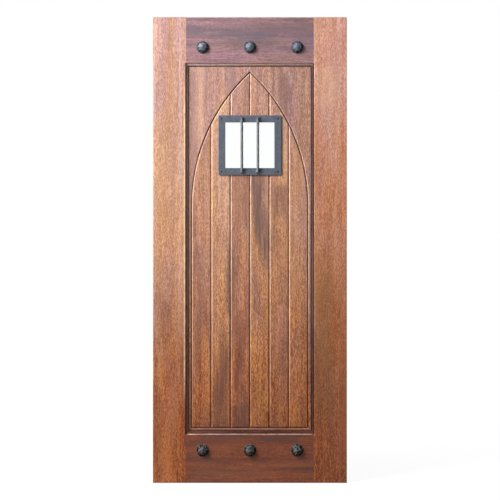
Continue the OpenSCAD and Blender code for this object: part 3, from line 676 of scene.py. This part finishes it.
baseStrip = {
    "grain": "level", "pale": (0.44, 0.205, 0.115), "body": (0.295, 0.11, 0.06), "gloss": 0.15, "fade": 0.0,
    "rub": 0.22, "highlightAtFoot": 0.7, "pith": (-0.2, 0.1, 0.0), "shadeDepth": 0.0035, "shift": (0.0, 0.0, 46.0),
}
makeTimber("leftSpandrel", "left_spandrel", leftSpandrel)
makeTimber("rightSpandrel", "right_spandrel", rightSpandrel)
makeTimber("baseStrip", "base_strip", baseStrip)
makeTimber("plank1", "plank_1", plank1)
makeTimber("plank2", "plank_2", plank2)
makeTimber("plank3Upper", "plank_3_upper", plank3)
makeTimber("plank3Lower", "plank_3_lower", plank3)
makeTimber("plank4Upper", "plank_4_upper", plank4)
makeTimber("plank4Lower", "plank_4_lower", plank4)
makeTimber("plank5", "plank_5", plank5)
makeTimber("plank6", "plank_6", plank6)
print("arched panel made")

# the lighter copies on the left and at the head are painted light, and the left one darkens towards the foot
# the mouldings are one timber coloured per side: the darker copy on the right and at the foot is painted shade,
paintedShadeMoulding = {
    "pale": (0.10, 0.04, 0.031), "body": (0.058, 0.022, 0.018), "deep": (0.03, 0.012, 0.01), "fade": 0.04,
    "gloss": 0.15, "ease": 0.0004, "rub": 0.2, "flank": 0.0, "archFlank": 0.0, "shift": (0.0, 0.0, 50.0),
}
paintedLightMoulding = {
    **paintedShadeMoulding, "pale": (0.48, 0.23, 0.195), "body": (0.34, 0.145, 0.12), "deep": (0.17, 0.07, 0.06),
    "gloss": 0.2, "fade": 0.5, "sheenColour": (0.72, 0.48, 0.45), "sheenLow": 0.3, "shift": (0.0, 0.0, 54.0),
}
paintedLightHeadMoulding = {**paintedLightMoulding, "grain": "level", "pale": (0.30, 0.16, 0.15), "body": (0.20, 0.10, 0.10)}
paintedShadeFootMoulding = {**paintedShadeMoulding, "grain": "level"}
mouldings = {"left": paintedLightMoulding, "right": paintedShadeMoulding, "top": paintedLightHeadMoulding, "bottom": paintedShadeFootMoulding}
for side, cut in mouldings.items():
    for lead in ("front_moulding", "back_moulding", "glazing_bead"):
        first, second = lead.split("_")
        makeTimber(f"{first}{second.title()}{side.title()}", f"{lead}_{side}", cut)
print("mouldings and glazing beads made")

# window: clear glass on dark bedding tape
glass = {"tint": (0.985, 0.995, 0.99), "ior": 1.47, "film": (9.0, 9.0, 6.0), "filmRough": 0.03,
         "ripple": (14.0, 14.0, 5.0), "bump": 0.05, "bumpDepth": 0.001}
tape = {"dark": (0.02, 0.02, 0.021), "light": (0.05, 0.05, 0.052), "grit": (500.0, 500.0, 500.0),
        "gritSpan": (0.35, 0.65), "roughRange": (0.6, 0.8), "bump": 0.3, "bumpDepth": 0.0003}


def glassMaterial():
    material, tree, shader, place = newMaterial("windowGlass")
    film = noise(tree, place, glass["film"], 3.0)
    tree.links.new(spread(tree, film, *noiseSpan, 0.0, glass["filmRough"]), shader["Roughness"])
    addBump(tree, shader, noise(tree, place, glass["ripple"]), glass["bump"], glass["bumpDepth"])
    shader["Base Color"].default_value = opaque(glass["tint"])
    shader["IOR"].default_value = glass["ior"]
    shader["Transmission Weight"].default_value = 1.0
    return material


def tapeMaterial():
    material, tree, shader, place = newMaterial("beddingTape")
    grit = noise(tree, place, tape["grit"], 3.0)
    share = spread(tree, grit, *tape["gritSpan"])
    linkAll(tree, shader, {
        "Base Color": mixColour(tree, share, opaque(tape["dark"]), opaque(tape["light"])),
        "Roughness": spread(tree, grit, *noiseSpan, *tape["roughRange"]),
    })
    addBump(tree, shader, grit, tape["bump"], tape["bumpDepth"])
    return material


for nodeName, material in (("glass_pane", glassMaterial()), ("glazing_tape", tapeMaterial())):
    nodes[nodeName].data.materials.clear()
    nodes[nodeName].data.materials.append(material)
print("window dressed")

# iron grille: flat frame and two round bars with fishtail feet
grille = {"dark": (0.062, 0.076, 0.102), "light": (0.125, 0.143, 0.178), "marks": 45.0, "depth": 0.0006,
          "metallic": 0.1, "gloss": 0.3, "polish": 0.0, "mottle": 1.0, "ease": 0.0008}
bars = {**grille, "dark": (0.07, 0.075, 0.088), "light": (0.22, 0.23, 0.25), "marks": 70.0, "footFrom": 0.102,
        "upperFootShade": -0.45, "lowerFootShade": -0.2}
grilleIron = ironMaterial("grilleIron", grille)
barIron = ironMaterial("barIron", bars)
putPiece("grilleFrame", easedCopy("grille_frame", grille["ease"]), grilleIron, ["grille_frame"])
for side in ("left", "right"):
    barNode = f"grille_bar_{side}"
    barMesh = easedCopy(barNode, bars["ease"])
    low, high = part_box(barNode)
    # the feet get darker tones: painted shadow of the standing feet, darker at the upper feet
    tones = barMesh.attributes.new("facet", "FLOAT", "FACE").data
    for face in barMesh.polygons:
        rise = face.center.z - (low.z + high.z) / 2
        if abs(rise) > bars["footFrom"]:
            tones[face.index].value = bars["upperFootShade"] if rise > 0 else bars["lowerFootShade"]
    putPiece(f"grilleBar{side.title()}", barMesh, barIron, [barNode])
print("grille made")


# fasteners: one shape each, set out by geometry nodes in a row of three or at four corners
def fastenerTree(name, pointsKind):
    tree = bpy.data.node_groups.new(name, "GeometryNodeTree")
    tree.interface.new_socket("Geometry", in_out="OUTPUT", socket_type="NodeSocketGeometry")
    for label, kind in (("Shape", "Object"), ("Material", "Material"), ("Centre", "Vector"), ("Across", "Float"),
                        ("Up", "Float"), ("First Turn", "Float"), ("Turn Step", "Float")):
        tree.interface.new_socket(label, in_out="INPUT", socket_type="NodeSocket" + kind)
    given = tree.nodes.new("NodeGroupInput").outputs
    made = tree.nodes.new("NodeGroupOutput").inputs
    if pointsKind == "row":
        step = addNode(tree, "ShaderNodeCombineXYZ", {0: given["Across"]}).outputs[0]
        points = addNode(tree, "GeometryNodeMeshLine", {"Count": 3, "Offset": step}).outputs[0]
        middle = scaleVector(tree, step, -1.0)
    else:
        grid = addNode(tree, "GeometryNodeMeshGrid", {"Size X": given["Across"], "Size Y": given["Up"],
                                                      "Vertices X": 2, "Vertices Y": 2}).outputs[0]
        points = addNode(tree, "GeometryNodeTransform", {0: grid, "Rotation": (math.pi / 2, 0.0, 0.0)}).outputs[0]
        middle = (0.0, 0.0, 0.0)
    start = calcVector(tree, "ADD", given["Centre"], middle)
    moved = addNode(tree, "GeometryNodeSetPosition", {"Geometry": points, "Offset": start}).outputs[0]
    index = tree.nodes.new("GeometryNodeInputIndex").outputs[0]
    turned = addNode(tree, "ShaderNodeMath", {0: index, 1: given["Turn Step"], 2: given["First Turn"]},
                     operation="MULTIPLY_ADD").outputs[0]
    spin = addNode(tree, "ShaderNodeCombineXYZ", {1: turned}).outputs[0]
    turnedBy = addNode(tree, "FunctionNodeEulerToRotation", {0: spin}).outputs[0]
    shape = addNode(tree, "GeometryNodeObjectInfo", {"Object": given["Shape"], "As Instance": True})
    placed = addNode(tree, "GeometryNodeInstanceOnPoints", {
        "Points": moved, "Instance": shape.outputs["Geometry"], "Rotation": turnedBy,
    })
    whole = addNode(tree, "GeometryNodeRealizeInstances", {0: placed.outputs[0]}).outputs[0]
    finished = addNode(tree, "GeometryNodeSetMaterial", {"Geometry": whole, "Material": given["Material"]}).outputs[0]
    tree.links.new(finished, made["Geometry"])
    return tree


def setOut(name, tree, inputs, replaced):
    carrier = bpy.data.objects.new(name, bpy.data.meshes.new(name))
    scene.collection.objects.link(carrier)
    modifier = carrier.modifiers.new("setOut", "NODES")
    modifier.node_group = tree
    for socket in tree.interface.items_tree:
        if socket.in_out == "INPUT":
            modifier[socket.identifier] = inputs[socket.name]
    applyModifier(carrier, modifier)
    carrier.data.name = name
    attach(carrier, "root")
    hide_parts(*replaced)


def shapeObject(name, work):
    mesh = bpy.data.meshes.new(name)
    work.to_mesh(mesh)
    work.free()
    shape = bpy.data.objects.new(name, mesh)
    scene.collection.objects.link(shape)
    return shape


# hammered stud: a round blank cut by flat hammer faces
stud = {
    "across": 0.054, "height": 0.019, "rim": 0.002, "slope": 0.010, "crown": 0.006, "flat": 0.006,
    "sideFaces": 8, "crownFaces": 6, "shank": 0.008, "shankLength": 0.030, "ease": 0.0004, "weld": 1e-5,
    "ridgeAngle": math.radians(12), "ridgeFrom": 0.0005, "crownSlope": 0.8,
    "pitch": 0.206, "turn": math.radians(17.0), "steps": 48, "shankSteps": 24,
    "dark": (0.010, 0.011, 0.014), "light": (0.25, 0.28, 0.35), "marks": 130.0, "depth": 0.0002,
    "metallic": 0.0, "gloss": 0.1, "polish": 0.1, "mottle": 0.6, "ridge": 0.1,
    # side facets darker than crown facets: painted shade
    "sideTones": (-0.3, -0.42, -0.36, -0.4), "crownTones": (0.05, -0.05, 0.1, -0.1),
}
# the foot row is the same iron in a darker copy: painted shade
footStud = {
    **stud, "turn": math.radians(29.0), "dark": (0.006, 0.006, 0.007), "light": (0.38, 0.345, 0.345), "gloss": 0.04,
    "mottle": 0.9, "ridge": -0.1, "sideTones": (-0.38, -0.5, -0.42, -0.5), "crownTones": (-0.27, -0.37, -0.23, -0.4),
}


def hammerFace(work, reach, height, tilt, turn):
    normal = Matrix.Rotation(turn, 3, "Z") @ Vector((math.sin(tilt), 0.0, math.cos(tilt)))
    point = Matrix.Rotation(turn, 3, "Z") @ Vector((reach, 0.0, height))
    whole = work.verts[:] + work.edges[:] + work.faces[:]
    cut = bmesh.ops.bisect_plane(work, geom=whole, plane_co=point, plane_no=normal, clear_outer=True)
    rim = [item for item in cut["geom_cut"] if isinstance(item, bmesh.types.BMEdge)]
    if rim:
        bmesh.ops.contextual_create(work, geom=rim)


def addRound(work, across, length, middle, segments):
    bmesh.ops.create_cone(work, cap_ends=True, segments=segments, radius1=across / 2, radius2=across / 2, depth=length,
                          matrix=Matrix.Translation((0.0, 0.0, middle)))


def studShape(name, values):
    work = bmesh.new()
    facet = work.faces.layers.float.new("facet")
    radius, height = values["across"] / 2, values["height"]
    addRound(work, values["across"], height, height / 2, values["steps"])
    crownReach, crownHeight = radius - values["slope"], height - values["crown"]
    sideTilt = math.atan2(crownHeight - values["rim"], values["slope"])
    crownTilt = math.atan2(values["crown"], crownReach - values["flat"] / 2)
    sideTurn, crownTurn = 2 * math.pi / values["sideFaces"], 2 * math.pi / values["crownFaces"]
    for i in range(values["sideFaces"]):
        hammerFace(work, radius, values["rim"], sideTilt, i * sideTurn)
    for i in range(values["crownFaces"]):
        hammerFace(work, crownReach, crownHeight, crownTilt, i * crownTurn + sideTurn / 3)
    bmesh.ops.dissolve_degenerate(work, dist=values["weld"], edges=work.edges)
    for i, face in enumerate(work.faces):
        tones = values["crownTones"] if face.normal.z > values["crownSlope"] else values["sideTones"]
        face[facet] = tones[i % len(tones)]
    ridges = [edge for edge in work.edges
              if edge.calc_face_angle(0.0) > values["ridgeAngle"] and edge.verts[0].co.z > values["ridgeFrom"]]
    # ridge faces get a lighter tone than the facets beside them: painted highlight
    ridgeBevel = bmesh.ops.bevel(work, geom=ridges, offset=values["ease"], segments=2, profile=0.5, affect="EDGES")
    for face in ridgeBevel["faces"]:
        face[facet] = values["ridge"]
    addRound(work, values["shank"], values["shankLength"], -values["shankLength"] / 2, values["shankSteps"])
    bmesh.ops.rotate(work, verts=work.verts, matrix=Matrix.Rotation(math.pi / 2, 3, "X"))
    return shapeObject(name, work)


# countersunk slotted screw
screw = {"head": 0.009, "shank": 0.0045, "length": 0.022, "lip": 0.0003, "point": 0.003, "tip": 0.0004,
         "slotWidth": 0.0014, "slotDepth": 0.0012, "firstTurn": 0.4, "turn": math.radians(37.0), "steps": 32,
         "weld": 1e-7,
         "dark": (0.012, 0.013, 0.016), "light": (0.04, 0.043, 0.05), "marks": 300.0, "depth": 0.0002,
         "metallic": 0.1, "gloss": 0.3, "polish": 0.05, "mottle": 1.0}


def screwShape():
    work = bmesh.new()
    head, shank, lip, length = screw["head"] / 2, screw["shank"] / 2, screw["lip"], screw["length"]
    outline = [(0.0, 0.0), (head - lip, 0.0), (head, lip), (shank, head - shank + lip),
               (shank, length - screw["point"]), (screw["tip"], length), (0.0, length)]
    line = [work.verts.new((reach, depth, 0.0)) for reach, depth in outline]
    edges = [work.edges.new(pair) for pair in zip(line, line[1:])]
    bmesh.ops.spin(work, geom=line + edges, cent=(0, 0, 0), axis=(0, 1, 0), angle=2 * math.pi, steps=screw["steps"])
    bmesh.ops.remove_doubles(work, verts=work.verts, dist=screw["weld"])
    bmesh.ops.recalc_face_normals(work, faces=work.faces)
    shape = shapeObject("screwShape", work)
    slotWork = bmesh.new()
    size = Matrix.Diagonal((2 * screw["head"], 2 * screw["slotDepth"], screw["slotWidth"], 1.0))
    bmesh.ops.create_cube(slotWork, size=1.0, matrix=size)
    slotCutter = shapeObject("slotCutter", slotWork)
    cut = shape.modifiers.new("slot", "BOOLEAN")
    cut.operation, cut.object, cut.solver = "DIFFERENCE", slotCutter, "EXACT"
    applyModifier(shape, cut)
    bpy.data.objects.remove(slotCutter)
    return shape


studRow = fastenerTree("studRow", "row")
screwCorners = fastenerTree("screwCorners", "corners")
screwIron = ironMaterial("screwIron", screw)
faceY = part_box("left_stile")[0].y
for row, values in (("top", stud), ("bottom", footStud)):
    studModel = studShape(f"{row}StudShape", values)
    low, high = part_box(f"{row}_studs")
    centre = ((low.x + high.x) / 2, faceY, (low.z + high.z) / 2)
    setOut(f"{row}Studs", studRow, {
        "Shape": studModel, "Material": ironMaterial(f"{row}StudIron", values), "Centre": centre,
        "Across": values["pitch"], "Up": 0.0, "First Turn": -values["turn"], "Turn Step": -values["turn"],
    }, [f"{row}_studs"])
    bpy.data.objects.remove(studModel)
screwModel = screwShape()
low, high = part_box("grille_screws")
reach = (high - low).x - screw["head"]
rise = (high - low).z - screw["head"]
centre = ((low.x + high.x) / 2, low.y, (low.z + high.z) / 2)
setOut("grilleScrews", screwCorners, {
    "Shape": screwModel, "Material": screwIron, "Centre": centre, "Across": reach, "Up": rise,
    "First Turn": screw["firstTurn"], "Turn Step": screw["turn"],
}, ["grille_screws"])
bpy.data.objects.remove(screwModel)
print("studs and screws set out")

# studio: pale floor, white surround, a key lamp from the upper left, a low lamp that rakes the face from the left,
# a weak softbox in front and a broad lamp that lights the back
studio = {"floorReach": 9.0, "floorSteps": 96, "floorTone": 0.9, "floorBounce": 0.08, "floorGlow": 0.9,
          "glowReach": (0.5, 2.0), "ambient": 0.04}
lamps = {
    "keyLamp": {"place": (-2.6, -1.75, 3.6), "aim": (0.0, 0.0, 1.2), "wide": 1.2, "tall": 1.2, "power": 248.0},
    "rakeLamp": {"place": (-2.6, -0.9, 1.0), "aim": (0.0, 0.0, 0.9), "wide": 0.8, "tall": 1.6, "power": 46.0},
    "highSoftbox": {"place": (-0.2, -3.4, 3.3), "aim": (0.0, 0.0, 1.6), "wide": 2.6, "tall": 1.0, "power": 15.0},
    "backLamp": {"place": (2.4, 2.6, 2.8), "aim": (0.0, 0.0, 1.0), "wide": 2.0, "tall": 2.0, "power": 170.0},
}
white = (1.0, 1.0, 1.0, 1.0)


def seenDirectly(tree):
    path = tree.nodes.new("ShaderNodeLightPath").outputs
    seen = calc(tree, "MAXIMUM", path["Is Camera Ray"], path["Is Glossy Ray"])
    return calc(tree, "MAXIMUM", seen, path["Is Transmission Ray"])


def makeWorld():
    world = bpy.data.worlds.new("whiteSurround")
    scene.world = world
    world.use_nodes = True
    tree = world.node_tree
    background = tree.nodes["Background"].inputs
    background["Color"].default_value = white
    strength = spread(tree, seenDirectly(tree), 0.0, 1.0, studio["ambient"], 1.0)
    tree.links.new(strength, background["Strength"])


def makeFloor():
    work = bmesh.new()
    bmesh.ops.create_circle(work, cap_ends=True, segments=studio["floorSteps"], radius=studio["floorReach"])
    floor = shapeObject("studioFloor", work)
    material, tree, _, place = newMaterial("paleFloor")
    seen = seenDirectly(tree)
    tone = spread(tree, seen, 0.0, 1.0, studio["floorBounce"], studio["floorTone"])
    grey = addNode(tree, "ShaderNodeCombineColor", {0: tone, 1: tone, 2: tone}).outputs[0]
    matt = addNode(tree, "ShaderNodeBsdfDiffuse", {"Color": grey}).outputs[0]
    glow = addNode(tree, "ShaderNodeEmission", {"Color": white, "Strength": 1.0}).outputs[0]
    fade = spread(tree, vectorLength(tree, place), *studio["glowReach"], studio["floorGlow"], 1.0)
    mixed = addNode(tree, "ShaderNodeMixShader", {0: multiply(tree, fade, seen), 1: matt, 2: glow}).outputs[0]
    tree.links.new(mixed, tree.nodes["Material Output"].inputs["Surface"])
    tree.nodes.remove(tree.nodes["Principled BSDF"])
    floor.data.materials.append(material)


def makeLamp(name, values):
    lamp = bpy.data.lights.new(name, "AREA")
    lamp.shape, lamp.size, lamp.size_y, lamp.energy = "RECTANGLE", values["wide"], values["tall"], values["power"]
    holder = bpy.data.objects.new(name, lamp)
    scene.collection.objects.link(holder)
    holder.location = values["place"]
    holder.rotation_euler = (Vector(values["aim"]) - Vector(values["place"])).to_track_quat("-Z", "Y").to_euler()


makeWorld()
makeFloor()
for name, values in lamps.items():
    makeLamp(name, values)
print("studio lit")

# camera: square on, 500 pixels across 2.18 m at the door's face
view = {"lens": 70.0, "sensor": 36.0, "frameWidth": 2.18025, "centreX": 0.0005, "centreZ": 1.016}


def makeCamera():
    camera = bpy.data.cameras.new("photoCamera")
    camera.lens, camera.sensor_width = view["lens"], view["sensor"]
    holder = bpy.data.objects.new("photoCamera", camera)
    scene.collection.objects.link(holder)
    distance = view["frameWidth"] * view["lens"] / view["sensor"]
    holder.location = (view["centreX"], faceY - distance, view["centreZ"])
    holder.rotation_euler = (math.pi / 2, 0.0, 0.0)
    scene.camera = holder


makeCamera()
